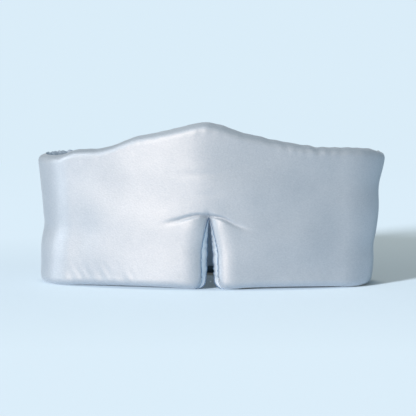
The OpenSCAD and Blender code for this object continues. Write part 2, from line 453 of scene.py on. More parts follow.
# How far beside the slit the columns give way to it, and the pitch and size of its seams' puckers
SLIT_REACH = 26 * MM
PUCKER_PITCH = 5.2 * MM
FRONT_PUCKER, FACE_PUCKER = 0.16, 0.42

# The creases that run out from the slit's apex, with how deep each starts: x, z in millimetres
CREASES = [
    ([(-0.4, 50.8), (-1.2, 51.3), (-6.1, 51.9), (-11.5, 51), (-17, 49.4), (-22, 47.9), (-28, 46.6),
      (-34, 44)], 2.3),
    ([(0.4, 50.8), (2.4, 51), (5.6, 50.6), (9.2, 49.9), (12.8, 48.3), (16.4, 46.3), (21, 44.3), (25.4, 42.5),
      (31, 40)], 2.0),
]


def slit_edge(z, is_front):
    """Half width of the slit at height z, narrowing to nothing at its apex."""
    width, run = (SLIT_FRONT, SLIT_FRONT_V) if is_front else (SLIT_BACK, SLIT_BACK_V)
    return width * np.clip((SLIT_H - z) / run, 0, 1) ** (0.75 if is_front else 0.7)


def half_columns():
    """Arc lengths from the end seam to the slit as shares 0 to 1, closer together near the slit."""
    steps = []
    at = 0.0
    while at < SEAM_U:
        steps.append(at)
        at += FINE_SPACING + (PAD_SPACING - FINE_SPACING) * float(smooth(at, 4 * MM, 26 * MM))
    steps[-1] = SEAM_U
    return 1 - np.array(steps[::-1]) / SEAM_U


def along_line(u, z, line):
    """Distance from a line of points, how far along it the nearest point is, and its height above u, z."""
    points = np.array(line) * MM
    starts = lengths_along(points)
    best = np.full(np.shape(u), 1e9)
    share = np.zeros(np.shape(u))
    below = np.zeros(np.shape(u))
    for i, length in enumerate(np.diff(starts)):
        p, q = points[i], points[i + 1]
        t = np.clip(((u - p[0]) * (q - p)[0] + (z - p[1]) * (q - p)[1]) / length**2, 0, 1)
        cu, cz = p[0] + t * (q - p)[0], p[1] + t * (q - p)[1]
        distance = np.hypot(u - cu, z - cz)
        closer = distance < best
        best = np.where(closer, distance, best)
        share = np.where(closer, (starts[i] + t * length) / starts[-1], share)
        below = np.where(closer, cz - z, below)
    return best, share, below


def corner_share(u_flat):
    """How far round the lobe's rounded corner a column is: 0 on the flat bottom, 1 at the slit."""
    return np.clip(1 - u_flat / SLIT_CORNER_R, 0, 1)


def pad_surface(side, is_front):
    """Arc length, height and depth over one half of the pad's front panel or lining."""
    u_flat = SEAM_U * (1 - half_columns())[None, :] + np.zeros((PAD_ROWS, 1))
    plan_x = side * plan(u_flat)[0] / MM
    pucker = 0.4 * wander(plan_x / 11, 0, 17) * (0.35 + 0.65 * smooth(plan_x, 25, 55))
    top = (curve_through(plan_x, TOP_EDGE) + pucker * (1 - smooth(np.abs(plan_x), 112, 120))) * MM
    bottom = curve_through(plan_x, BOTTOM_EDGE) * MM
    bottom = bottom + SLIT_CORNER_R * (1 - np.sqrt(1 - corner_share(u_flat) ** 2))
    low_rows = apex_row()
    row = np.arange(PAD_ROWS)[:, None]
    apex = (SLIT_H - bottom[0, -1]) / (top[0, -1] - bottom[0, -1])
    low_share = np.clip(row / low_rows, 0, 1)
    high_share = np.clip((row - low_rows) / (PAD_ROWS - 1 - low_rows), 0, 1)
    t = apex * (1 - (1 - low_share) ** 1.5) + (1 - apex) * high_share**1.4
    t = t + (row / (PAD_ROWS - 1) - t) * smooth(u_flat, 20 * MM, 70 * MM)
    z = bottom + t * (top - bottom)
    edge = slit_edge(z, is_front)
    u = u_flat + edge * np.clip(1 - u_flat / SLIT_REACH, 0, 1)
    d = pad_depth(side, u, z, top, bottom, edge, is_front)
    wave = np.sin(2 * math.pi * z / PUCKER_PITCH + 2.2 * wander(z / (14 * MM), 0, 11 + side))
    seam = np.exp(-np.maximum(u - edge, 0) / (1.5 * MM)) * smooth(SLIT_H - z, 3 * MM, 12 * MM)
    u = u + (FRONT_PUCKER if is_front else FACE_PUCKER) * MM * wave * seam
    return np.stack([u, z, d], -1)


def apex_row():
    return int(round(APEX_ROW_SHARE * (PAD_ROWS - 1)))


def pad_depth(side, u, z, top, bottom, edge, is_front):
    """Depth of the pad's front panel or lining, in from the loop's outside."""
    x = side * u
    to_end = smooth(u, 96 * MM, SEAM_U)
    middle = (7 - 3 * to_end) * MM
    thick, thins = (FRONT_THICK, FRONT_THINS) if is_front else (FACE_THICK, FACE_THINS)
    full = (thick - thins * to_end) * MM
    body = puff(top - z, TOP_ROUND, 2.2) * puff(z - bottom, BOTTOM_ROUND, 2.2) * puff(SEAM_U - u, END_ROUND)
    height = SEAM_HALF + (full - SEAM_HALF) * body
    # Beside the slit the panel ends on the facing's seam. Above the apex it is pinched in.
    above = np.maximum(z - SLIT_H, 0)
    from_slit = np.hypot(np.maximum(u - edge, 0), above)
    slit_height = (3.4 if is_front else 3.3) * MM * (0.15 + 0.85 * puff(z - bottom, 8 * MM))
    slit_height = slit_height + (1.6 * MM - slit_height) * smooth(z, SLIT_H - 12 * MM, SLIT_H)
    near = puff(from_slit, (15 - 8 * smooth(above, 0, 3 * MM)) * MM, 2.4)
    height = slit_height + (height - slit_height) * near
    if is_front:
        height = height + apex_creases(x, z) + panel_folds(x, z, top, bottom)
        from_ridge = x + 0.15 * above
        soft = (8 + 10 * smooth(above, 0, 60 * MM)) * MM
        height = height + RIDGE * np.exp(-(np.hypot(from_ridge, soft) - soft) / (26 * MM)) * body
    height = height + 0.35 * MM * wander(x / (60 * MM), z / (45 * MM), 5 if is_front else 9) * body
    return middle - height if is_front else middle + height


def apex_creases(x, z):
    """The two soft creases that the slit pulls into the front panel, each with a fuller lobe below it."""
    total = 0
    for line, deep in CREASES:
        distance, along, below = along_line(x, z, line)
        fade = (1 - smooth(along, 0.05, 1.0)) * deep * MM
        width = (0.6 + 1.3 * along) * MM
        fold = 1.1 * np.exp(-((distance / width) ** 2)) + 0.2 * np.exp(-distance / (5 * MM))
        lobe = np.exp(-(((below - 8 * MM) / (6 * MM)) ** 2)) * np.exp(-((distance / (12 * MM)) ** 2))
        total = total + fade * (0.22 * lobe - fold)
    return total


def panel_folds(x, z, top, bottom):
    """Soft folds in the front panel: faint level ones above the slit, and puckers along the seams."""
    level = 0.28 * bell(z, 80 * MM, 2.2 * MM) * bell(x, -1 * MM, 17 * MM)
    level = level + 0.2 * bell(z, 66 * MM, 2 * MM) * bell(x, 2 * MM, 7 * MM)
    up, down = z - bottom, top - z
    slant = x + 0.55 * up
    low = np.cos(2 * math.pi * slant / (7.5 * MM) + 1.3 * wander(slant / (18 * MM), 0, 3))
    low_place = smooth(-x, 44 * MM, 58 * MM) * (1 - smooth(-x, 98 * MM, 108 * MM))
    low_place = low_place + 0.25 * smooth(x, 40 * MM, 60 * MM)
    high = np.cos(2 * math.pi * x / (8 * MM) + 1.5 * wander(x / (25 * MM), 0, 8))
    high_place = 0.35 + 0.65 * smooth(x, 30 * MM, 60 * MM)
    uneven = 0.55 + 0.45 * wander(x / (16 * MM), up / (20 * MM), 14)
    low = 0.34 * low * uneven * bell(up, 6.5 * MM, 6.5 * MM) * low_place
    high = 0.2 * high * bell(down, 3 * MM, 4 * MM) * high_place
    return MM * (low + high - level)


FRONT_TAG, LINING_TAG, LEFT_FACING_TAG, RIGHT_FACING_TAG, LEFT_END_TAG, RIGHT_END_TAG = range(6)


def join_strip(work, side, outer, inner, run, tag, outward, bulge):
    """A strip that joins the two panels along a run of grid places, bulging outward a little."""
    r, c = np.array(run).T
    across = np.linspace(0, 1, STRIP_COLS)[None, :, None]
    a, b = outer[r, c][:, None], inner[r, c][:, None]
    strip = a * (1 - across) + b * across
    room = np.minimum(1, (b - a)[..., 2] / (4 * MM))
    swell = bulge * np.sin(math.pi * across[..., 0]) * room
    strip[..., 0] += outward[0] * swell
    strip[..., 1] += outward[1] * swell
    work.add(place_grid(side, strip), tag)


def pad_mesh():
    """The whole pad as one closed skin, each face tagged with the panel it belongs to."""
    work = Patchwork()
    low_rows = apex_row()
    u_flat = SEAM_U * (1 - half_columns())
    corner = int(np.argmax(u_flat < SLIT_CORNER_R))
    for side in (LEFT, RIGHT):
        outer, inner = pad_surface(side, True), pad_surface(side, False)
        work.add(place_grid(side, outer), FRONT_TAG)
        work.add(place_grid(side, inner), LINING_TAG)
        rows, cols = outer.shape[:2]
        facing_tag = LEFT_FACING_TAG if side == LEFT else RIGHT_FACING_TAG
        end_tag = LEFT_END_TAG if side == LEFT else RIGHT_END_TAG
        turn = corner_share(u_flat)[::-1, None]
        down = np.sqrt(1 - turn**2)
        split = cols - corner
        facing = [(r, cols - 1) for r in range(low_rows, -1, -1)]
        floor = [(0, c) for c in range(cols - 1, -1, -1)]
        end = [(r, 0) for r in range(rows)]
        top = [(rows - 1, c) for c in range(cols)]
        strips = [
            (facing, facing_tag, (-1, 0), 0.6 * MM),
            (floor[:split], facing_tag, (-turn[:split], -down[:split]), 0.6 * MM),
            (floor[split - 1 :], FRONT_TAG, (0, -1), 0.2 * MM),
            (end, end_tag, (1, 0), 0.3 * MM),
            (top, FRONT_TAG, (0, 1), 0.25 * MM),
        ]
        for strip in strips:
            join_strip(work, side, outer, inner, *strip)
    return work.build("pad")


def shape_field(points):
    """The lean of the standing loop: the ends draw in towards the floor, and the slit leans aside."""
    x, y, z = points.T
    right = smooth(x, 60 * MM, 118 * MM)
    left = smooth(-x, 70 * MM, 118 * MM)
    low = np.clip(1 - z / (88 * MM), 0, 1)
    dent = bell(z, 40 * MM, 7 * MM)
    moved = points.copy()
    hollow = 2.3 * bell(z, 69 * MM, 13 * MM) + 1.3 * bell(z, 27 * MM, 8 * MM)
    moved[:, 0] += MM * left * (2.0 * low + 1.2 * dent + 3.2 * bell(z, 50 * MM, 24 * MM))
    moved[:, 0] -= MM * right * (9.0 * low + hollow)
    aside = (0.5 + 0.8 * np.clip(1 - z / SLIT_H, 0, 1)) * (1 - smooth(z, SLIT_H, SLIT_H + 30 * MM))
    moved[:, 0] += MM * aside * bell(x, 0, 26 * MM)
    corner = smooth(np.abs(x), 84 * MM, 112 * MM) * bell(y, -4 * MM, 22 * MM)
    moved[:, 1] -= 6.5 * MM * corner * low
    return moved


def bend_points(obj, change):
    count = len(obj.data.vertices)
    points = np.zeros(count * 3)
    obj.data.vertices.foreach_get("co", points)
    obj.data.vertices.foreach_set("co", change(points.reshape(-1, 3)).ravel())
    obj.data.update()


def pad_layer(name, cad_node, outer_share, inner_share, material):
    """A filling layer between two shares of the pad's depth, drawn in a little from the seams."""
    work = Patchwork()
    for side in (LEFT, RIGHT):
        outer, inner = pad_surface(side, True), pad_surface(side, False)
        middle = 0.5 * (outer + inner)
        centre = np.array([0.5 * SEAM_U, 52 * MM, 0])
        faces = []
        for share in (outer_share, inner_share):
            grid = outer * (1 - share) + inner * share
            grid[..., 0] = middle[..., 0] + 0.02 * (centre[0] - middle[..., 0])
            grid[:, -1, 0] = np.where(grid[:, -1, 1] > SLIT_H + 3 * MM, 0, grid[:, -1, 0])
            grid[..., 1] = middle[..., 1] + 0.03 * (centre[1] - middle[..., 1])
            faces.append(place_grid(side, grid))
            work.add(faces[-1])
        beside_slit = np.s_[: apex_row() + 3, -1]
        work.add_rim(*faces, edges=(np.s_[0, :], np.s_[-1, :], np.s_[:, 0], beside_slit))
    piece = work.build(name)
    bend_points(piece, shape_field)
    return finish_piece(piece, material, "front", [cad_node])


def build_pad():
    pad = pad_mesh()
    bend_points(pad, shape_field)
    subdivide(pad)
    pieces = [
        ("front_panel", FRONT_TAG, SATIN, "satin", "front_cover"),
        ("face_panel", LINING_TAG, LINING, "satin_lining", "face_lining"),
        ("slit_facing_l", LEFT_FACING_TAG, BINDING, "binding", "slit_facing_left"),
        ("slit_facing_r", RIGHT_FACING_TAG, BINDING, "binding", "slit_facing_right"),
        ("end_binding_l", LEFT_END_TAG, BINDING, "binding", "end_seam_left"),
        ("end_binding_r", RIGHT_END_TAG, BINDING, "binding", "end_seam_right"),
    ]
    for name, tag, material, slot, stood_for in pieces:
        piece = keep_tag(pad, name, tag)
        finish_piece(piece, material, "front", [stood_for])
    bpy.data.objects.remove(pad)


def build_filling():
    layers = [
        ("front_padding_fill", "front_padding", 0.12, 0.50, WADDING, "wadding"),
        ("blackout_sheet", "blackout_layer", 0.54, 0.58, BLACKOUT, "blackout"),
        ("face_padding_fill", "face_padding", 0.62, 0.88, WADDING, "wadding"),
    ]
    for name, cad_node, outer_share, inner_share, material, slot in layers:
        piece = pad_layer(name, cad_node, outer_share, inner_share, material)


# A direction that no part of the slit's seams runs along
ACROSS_SLIT = (0.31, 0.17, 0.93)


def slit_threads():
    """A line of thread sunk into each of the slit's seams."""
    for side in (LEFT, RIGHT):
        for is_front, radius in ((True, 0.42 * MM), (False, 0.4 * MM)):
            grid = pad_surface(side, is_front)
            line = grid[: apex_row() - 1, -1]
            start = grid[0, int(np.argmax(SEAM_U * (1 - half_columns()) < SLIT_CORNER_R)) :]
            route = np.concatenate([start, line[1:]])
            route[:, 1] = np.maximum(route[:, 1], radius)
            name = f"slit_stitching_{SIDE_NAMES[side]}_{'front' if is_front else 'back'}"
            thread = mesh_object(name, *thread_along(place_grid(side, route), ACROSS_SLIT, radius))
            bend_points(thread, shape_field)
            finish_piece(thread, THREAD, "front")


build_pad()
build_filling()
slit_threads()

# ---------- gathered sleeves ----------

GATHER_PITCH = 5.4 * MM
SPLIT_U = BACK_U + 1.5 * MM
SLEEVE_TOP = {LEFT: 90.6 * MM, RIGHT: 90.8 * MM}
SLEEVE_MID = 4.1 * MM
STRAP_MID = {LEFT: 6.3 * MM, RIGHT: 2.0 * MM}
STRAP_FOOT = 1.2 * MM
ELASTIC_LOW, ELASTIC_HIGH = (c.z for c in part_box("right_side_elastic"))
SLEEVE_ROWS = 104
SLEEVE_SPACING = 0.62 * MM
ELASTIC_ROWS = 30
ELASTIC_SPACING = 1.5 * MM
GATHER_SEED = 20


def gathers(u, z, seed):
    """Height of the ruched folds, from 0 in the valleys to 1 on the crests."""
    warp = 0.36 * wander(u / (26 * MM), z / (70 * MM), seed)
    warp = warp + 0.12 * wander(u / (9 * MM), z / (30 * MM), seed + 1)
    phase = 2 * math.pi * (u / GATHER_PITCH + warp)
    folds = (0.5 + 0.5 * np.cos(phase)) ** 0.75
    second = (0.5 + 0.5 * np.cos(phase * 0.5 + 1.7)) ** 1.2
    swap = 0.5 + 0.5 * np.tanh(1.6 * wander(u / (22 * MM), z / (44 * MM), seed + 2))
    return folds * (0.55 + 0.45 * swap) * 0.75 + second * 0.35


def sleeve_middle(side, u):
    """Depth of the sleeve's middle, which runs into the strap's own depth at the seam strip."""
    return SLEEVE_MID + (STRAP_MID[side] - SLEEVE_MID) * smooth(u, STRAP_U - 12 * MM, STRAP_U)


def sleeve_edges(side, u):
    """Low and high edges of a sleeve, ruffled by its gathers."""
    to_strap = smooth(u, STRAP_U - 26 * MM, STRAP_U)
    flare = smooth(u - SEAM_U, 0, 6 * MM) * (1 - to_strap)
    ruffle = gathers(u, 0 * u, GATHER_SEED + side)
    top = SLEEVE_TOP[side]
    high = top + (STRAP_HIGH - top) * to_strap + 1.4 * MM * (ruffle - 0.5) * flare
    low = 0.7 * MM + (STRAP_FOOT - 0.7 * MM) * to_strap + 0.7 * MM * ruffle * flare
    return low, high


def sleeve_grid(side, u0, u1, is_outer):
    """A gathered panel between two arc lengths, flat where it meets the pad and the strap."""
    cols = int((u1 - u0) / SLEEVE_SPACING) + 2
    u = np.linspace(u0, u1, cols)[None, :]
    t = np.linspace(0, 1, SLEEVE_ROWS)[:, None]
    low, high = sleeve_edges(side, u)
    z = low + t * (high - low)
    from_seam = u - SEAM_U
    to_strap = smooth(u, STRAP_U - 9 * MM, STRAP_U)
    begin = smooth(from_seam, -1 * MM, 11 * MM)
    half = (0.5 + 2.7 * begin) * MM
    half = half + (1.3 * MM - half) * to_strap
    amplitude = (2.3 if is_outer else 1.8) * MM * (0.15 + 0.85 * begin) * (1 - 0.9 * to_strap)
    folds = gathers(u, z, GATHER_SEED + side)
    rim = puff(np.minimum(z - low, high - z), 4.5 * MM, 2.0)
    height = (half + amplitude * (folds - 0.25)) * rim
    middle = sleeve_middle(side, u)
    d = middle - height if is_outer else middle + height
    return place(side * u, z, d)


def elastic_grid(side, u0, u1, sign):
    """One face of the flat elastic band that lies inside the gathers."""
    cols = int((u1 - u0) / ELASTIC_SPACING) + 2
    u = np.linspace(u0, u1, cols)[None, :]
    z = np.linspace(ELASTIC_LOW, ELASTIC_HIGH, ELASTIC_ROWS)[:, None]
    rim = puff(np.minimum(z - ELASTIC_LOW, ELASTIC_HIGH - z), 1.2 * MM, 2.0)
    thin = 0.45 + 0.55 * smooth(u - SEAM_U, 0, 8 * MM)
    d = sleeve_middle(side, u) + sign * 0.5 * MM * rim * thin
    return place(side * u, z, d)


def sleeve_part(name, grids, material, stood_for):
    """One grid makes a sheet of cloth, two make a closed band."""
    if len(grids) == 2:
        piece = closed_shell(name, *grids)
        bend_points(piece, shape_field)
    else:
        work = Patchwork()
        work.add(*grids)
        piece = work.build(name)
        bend_points(piece, shape_field)
        subdivide(piece)
    return finish_piece(piece, material, None, stood_for)


def build_sleeve(side):
    """Outer satin, inner satin and elastic, each in two parts: one round the bend and one behind it."""
    word = SIDE_NAMES[side]
    layers = [
        ("sleeve_outer", lambda a, b: [sleeve_grid(side, a, b, True)], SATIN, "satin"),
        ("sleeve_inner", lambda a, b: [sleeve_grid(side, a, b, False)], LINING, "satin_lining"),
        ("side_elastic", lambda a, b: [elastic_grid(side, a, b, s) for s in (-1, 1)], ELASTIC, "elastic"),
    ]
    for layer, grids, material, slot in layers:
        cad_node = f"{word}_{layer}"
        bend = sleeve_part(cad_node + "_bend", grids(SEAM_U - 0.4 * MM, SPLIT_U), material, [cad_node])
        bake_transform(bend)
        back = sleeve_part(cad_node + "_back", grids(SPLIT_U, STRAP_U), material, [])
        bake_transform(back)


for side in (LEFT, RIGHT):
    build_sleeve(side)

# ---------- straps ----------

# Depths of each layer of a strap in millimetres, in from the loop's outside: the right strap laps over
STRAP_DEPTHS = {
    RIGHT: {"outer": (0.0, 1.3), "core": (1.2, 1.9), "inner": (1.8, 3.0)},
    LEFT: {"outer": (5.3, 6.5), "core": (6.4, 7.1), "inner": (7.0, 8.3)},
}
STRAP_CLOTH = {"outer": (SATIN, "satin"), "core": (ELASTIC, "elastic"), "inner": (LINING, "satin_lining")}
STRAP_CORNER_R = 12 * MM
CORE_LOW, CORE_HIGH = 12 * MM, 76 * MM
CORE_FROM_TIP = 12 * MM
CORE_CORNER_R = 2 * MM
# How far topstitching runs inside an edge, and a fastener's border inside its tape
TOPSTITCH_INSET = 2.6 * MM
BORDER_INSET = 1.6 * MM
HEM_H = 2.7 * MM
HEM_R = {LEFT: 1.9 * MM, RIGHT: 0.6 * MM}
HEM_SIDES = 17
PATH_SPACING = 0.4 * MM
STITCH_LENGTH = 2.3 * MM
STITCH_PITCH = 3.1 * MM
STITCH_RADIUS = 0.28 * MM
STITCH_RINGS = 6


def slab(name, side, x_tip, x_root, low, high, d_outer, d_inner, radius, edge=1.0 * MM, crown=0.2 * MM,
         step=1.2 * MM, relief=None):
    """A flat sewn slab on the loop's back: rounded corners at the tip, soft edges all round."""
    length = abs(x_root - x_tip)
    cols = int(length / step) + 2
    rows = int((high - low) / step) + 2
    share = np.linspace(0, 1, cols)[None, :] ** (1.25 if radius else 1.0)
    t = np.linspace(0, 1, rows)[:, None]
    from_tip = share * length
    reach = np.maximum(radius - from_tip, 0)
    inset = radius - np.sqrt(np.maximum(radius**2 - reach**2, 0))
    z = low + inset + t * (high - low - 2 * inset)
    x = x_tip + share * (x_root - x_tip) + 0 * t
    near = np.minimum(np.minimum(t, 1 - t) * (high - low), np.minimum(from_tip, length - from_tip))
    rim = puff(near, edge, 2.0)
    middle, half = (d_outer + d_inner) / 2, (d_inner - d_outer) / 2
    swell = half * (0.25 + 0.75 * rim) + crown * puff(near, 12 * MM) * rim
    rough = relief(x, z) * rim if relief else 0
    depths = [middle + sign * (swell + rough) for sign in (-1, 1)]
    grids = [np.stack([side * x, BACK_Y - depth, z], -1) for depth in depths]
    return subdivide(closed_shell(name, *grids))


def rounded_path(x0, x1, z0, z1, radius):
    """Points along a rectangle with rounded corners."""
    corners = [(x1, z0, -90), (x1, z1, 0), (x0, z1, 90), (x0, z0, 180)]
    path = []
    for x, z, start in corners:
        cx = x - math.copysign(radius, x - (x0 + x1) / 2)
        cz = z - math.copysign(radius, z - (z0 + z1) / 2)
        for k in range(7):
            a = math.radians(start + 15 * k)
            path.append((cx + radius * math.cos(a), cz + radius * math.sin(a)))
    path.append(path[0])
    path = np.array(path)
    lengths = lengths_along(path)
    at = np.linspace(0, lengths[-1], int(lengths[-1] / PATH_SPACING))
    return np.stack([np.interp(at, lengths, path[:, 0]), np.interp(at, lengths, path[:, 1])], -1)


def cut_at(outline, x_end):
    """The part of a closed outline before x_end, as one open path from cut to cut."""
    kept = outline[outline[:, 0] < x_end]
    start = int(np.argmax(np.linalg.norm(np.diff(kept, axis=0), axis=1))) + 1
    return np.roll(kept, -start, 0)


def stitches(name, path, normal):
    """A row of separate thread stitches along a path, each rising from the cloth and dipping back."""
    lengths = lengths_along(path)
    arch = np.sin(np.linspace(0, math.pi, STITCH_RINGS))[:, None]
    fat = STITCH_RADIUS * (0.45 + 0.55 * arch)[:, :, None]
    points, faces = [], []
    for k in range(int(lengths[-1] / STITCH_PITCH)):
        at = k * STITCH_PITCH + np.linspace(0, STITCH_LENGTH, STITCH_RINGS)
        line = np.stack([np.interp(at, lengths, path[:, i]) for i in range(3)], -1)
        line = line + np.array(normal) * (0.35 * arch - 0.15) * MM
        first = k * STITCH_RINGS * THREAD_SIDES
        stitch_points, stitch_faces = thread_along(line, normal, fat, first)
        points.append(stitch_points)
        faces += stitch_faces
    return mesh_object(name, np.concatenate(points), faces)


def on_back(side, path, d):
    """A path in x and z, laid on the loop's back at depth d."""
    return np.stack([side * path[:, 0], np.full(len(path), BACK_Y - d), path[:, 1]], -1)


def hook_relief(x, z):
    """Rows of tiny hooks, which stand up as a fine grid."""
    return 0.22 * MM * np.abs(np.sin(math.pi * x / (1.5 * MM)) * np.sin(math.pi * z / (1.5 * MM)))


def pile_relief(x, z):
    """Brushed loops, which stand up unevenly."""
    return 0.16 * MM * (wander(x / (1.3 * MM), z / (1.3 * MM), 31) + wander(x / (4 * MM), z / (4 * MM), 32))


def build_strap_layers():
    """Outer panel, core and inner panel of both straps. The core is smaller all round."""
    root = STRAP_END_X - 1.5 * MM
    for side, layers in STRAP_DEPTHS.items():
        word = SIDE_NAMES[side]
        for layer, (outer, inner) in layers.items():
            name = f"{word}_strap_{layer}"
            material, slot = STRAP_CLOTH[layer]
            tip, low, high, radius = STRAP_TIP_X, STRAP_FOOT, STRAP_HIGH, STRAP_CORNER_R
            if layer == "core":
                tip, low, high, radius = tip + CORE_FROM_TIP, CORE_LOW, CORE_HIGH, CORE_CORNER_R
            piece = slab(name + "_panel", side, tip, root, low, high, outer * MM, inner * MM, radius)
            finish_piece(piece, material, word + "_strap", [name])


def build_strap_seams():
    """The strip that joins each strap to its sleeve, held by two rows of stitches."""
    depths = {RIGHT: (-0.3 * MM, 4.3 * MM), LEFT: (4.0 * MM, 8.7 * MM)}
    for side in (LEFT, RIGHT):
        word = SIDE_NAMES[side]
        x0, x1 = STRAP_END_X - 4.5 * MM, STRAP_END_X + 0.8 * MM
        outer, inner = depths[side]
        strip = slab(f"{word}_strap_binding", side, x0, x1, STRAP_FOOT - 0.6 * MM, STRAP_HIGH + 0.4 * MM,
                     outer, inner, 0, crown=0.1 * MM, step=0.9 * MM)
        finish_piece(strip, BINDING, f"{word}_strap", [f"{word}_strap_seam"])
        for row, x in enumerate((x0 + 1.2 * MM, x1 - 1.2 * MM)):
            z = np.linspace(STRAP_FOOT + 1 * MM, STRAP_HIGH - 1 * MM, 200)
            for face, d, normal in (("out", outer, (0, 1, 0)), ("in", inner, (0, -1, 0))):
                path = on_back(side, np.stack([np.full_like(z, x), z], -1), d)
                thread = stitches(f"{word}_strap_stitching_{row}_{face}", path, normal)
                finish_piece(thread, THREAD, f"{word}_strap")


def build_strap_edge_stitching():
    """Topstitching just inside the edge of both straps, outside and inside."""
    for side, faces in ((RIGHT, (0.0, 3.1)), (LEFT, (5.2, 8.4))):
        for d, normal in zip(faces, ((0, 1, 0), (0, -1, 0))):
            inset = TOPSTITCH_INSET
            outline = rounded_path(STRAP_TIP_X + inset, STRAP_END_X + 30 * MM, STRAP_FOOT + inset,
                                   STRAP_HIGH - inset, STRAP_CORNER_R - inset)
            path = on_back(side, cut_at(outline, STRAP_END_X - 5 * MM), d * MM)
            word = SIDE_NAMES[side]
            thread = stitches(f"{word}_strap_topstitching_{'out' if normal[1] > 0 else 'in'}", path, normal)
            finish_piece(thread, THREAD, f"{word}_strap")


def build_strap_hems():
    """A dark navy roll at the foot of each strap, on the inside: painted shade for the deep shade under the
    strap's foot.
    """
    for side, depth in ((LEFT, 8.3 * MM), (RIGHT, 3.0 * MM)):
        across = np.linspace(0, 2 * math.pi, HEM_SIDES)[:, None]
        x = np.linspace(STRAP_TIP_X + 8 * MM, STRAP_END_X - 5 * MM, 70)[None, :]
        thick = HEM_R[side] * (1 + 0.06 * wander(x / (9 * MM), 0, 41))
        d = depth + thick * (0.7 + np.cos(across))
        z = STRAP_FOOT + HEM_H + HEM_H * np.sin(across) + 0 * x
        x = x + 0 * across
        work = Patchwork()
        work.add(np.stack([side * x, BACK_Y - d, z], -1))
        for end in (0, -1):
            middle = np.array([side * x[0, end], BACK_Y - depth - 0.7 * HEM_R[side], STRAP_FOOT + HEM_H])
            ring = work.points[0].reshape(HEM_SIDES, -1, 3)[:, end]
            work.add(np.stack([ring, np.broadcast_to(middle, ring.shape)], 1))
        hem = subdivide(work.build(f"{SIDE_NAMES[side]}_strap_hem"))
        finish_piece(hem, PAINTED_SHADE_HEM, f"{SIDE_NAMES[side]}_strap")


def build_fasteners():
    """Hook pad inside the right strap, loop pad outside the left one, each with its stitched border."""
    for node_name, body, side, material, slot, relief, face in (
        ("hook_pad", "right_strap", RIGHT, HOOK, "hook", hook_relief, -1),
        ("loop_pad", "left_strap", LEFT, LOOP, "loop", pile_relief, 1),
    ):
        low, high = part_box(node_name)
        xs = sorted((side * low.x, side * high.x))
        d_outer, d_inner = BACK_Y - high.y, BACK_Y - low.y
        piece = slab(node_name + "_tape", side, *xs, low.z, high.z, d_outer, d_inner, 0, edge=0.6 * MM,
                     crown=0.0, step=0.75 * MM, relief=relief)
        finish_piece(piece, material, body, [node_name])
        inset = BORDER_INSET
        border = rounded_path(xs[0] + inset, xs[1] - inset, low.z + inset, high.z - inset, 2 * MM)
        d = d_inner if face < 0 else d_outer
        thread = stitches(node_name + "_border", on_back(side, border, d), (0, face, 0))
        finish_piece(thread, THREAD, body, [node_name + "_stitching"])


def build_finger_pull():
    """A folded satin tab, stitched round its edge."""
    low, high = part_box("pull_tip")
    tab = slab("finger_pull_tab", RIGHT, low.x, high.x, low.z, high.z, BACK_Y - high.y, BACK_Y - low.y,
               6 * MM, edge=1.4 * MM, crown=0.1 * MM, step=0.8 * MM)
    finish_piece(tab, BINDING, "finger_pull", ["pull_tip"])
    outline = rounded_path(low.x + 2 * MM, high.x + 8 * MM, low.z + 2 * MM, high.z - 2 * MM, 4.5 * MM)
    outline = cut_at(outline, high.x - 1.2 * MM)
    for word, d, normal in (("out", 0.0, (0, 1, 0)), ("in", 3 * MM, (0, -1, 0))):
        thread = stitches("finger_pull_stitching_" + word, on_back(RIGHT, outline, d), normal)
        finish_piece(thread, THREAD, "finger_pull")


def build_care_label():
    """A blank folded label, sewn in along its upper edge and curling a little below."""
    low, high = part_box("care_label")
    rows, cols = 22, 14
    t = np.linspace(0, 1, rows)[:, None]
    x = np.linspace(low.x, high.x, cols)[None, :] + 0 * t
    z = high.z + t * (low.z - high.z) + 0 * x
    curl = 1.6 * MM * t**2 + 0.35 * MM * np.sin(math.pi * (x - low.x) / (high.x - low.x)) * t
    faces = [np.stack([x, low.y + 0.5 * MM - curl - depth, z], -1) for depth in (0.1 * MM, 0.5 * MM)]
    label = subdivide(closed_shell("blank_label", *faces))
    finish_piece(label, LABEL, "left_strap", ["care_label"])
    xs = np.linspace(low.x + 1 * MM, high.x - 1 * MM, 40)
    path = np.stack([xs, np.full_like(xs, low.y), np.full_like(xs, high.z - 1.2 * MM)], -1)
    finish_piece(stitches("label_stitching", path, (0, -1, 0)), THREAD, "left_strap")


build_strap_layers()
build_strap_seams()
build_strap_edge_stitching()
build_strap_hems()
build_fasteners()
build_finger_pull()
build_care_label()

# ---------- floor, light and camera ----------

BACKDROP = (0.703, 0.846, 0.945)
CAMERA_DISTANCE = 0.985
CAMERA_HEIGHT = 0.166
CAMERA_AZIMUTH = math.radians(2.5)
# Width of the camera's sensor and length of its lens, and how far down the picture the horizon lies
SENSOR = 36
LENS = 126.433
HORIZON_SHARE = 0.11058
AMBIENT = 0.38
AMBIENT_COLOUR = (0.66, 0.865, 1.0)
FLOOR_GLOW = (0.265, 0.281, 0.261)
# Share of the floor's glow that falls on the mask
FLOOR_BOUNCE = 0.35
# How much of that glow shows at a distance from the loop's centre, in half sizes of the loop: the loop shades
# what it stands round, and the floor just in front
FLOOR_SHADE = [(0.93, 0.17), (1.02, 0.76), (2, 0.78), (6, 1)]
# Distances from the middle between which the floor turns from lit to glowing, in metres
FLOOR_FADE = (0.5, 1.1)
FLOOR_RINGS = [0.0005, 0.3, 0.6, 1.2, 3, 10, 60]
LIGHT_TARGET = (0, 0, 0.05)
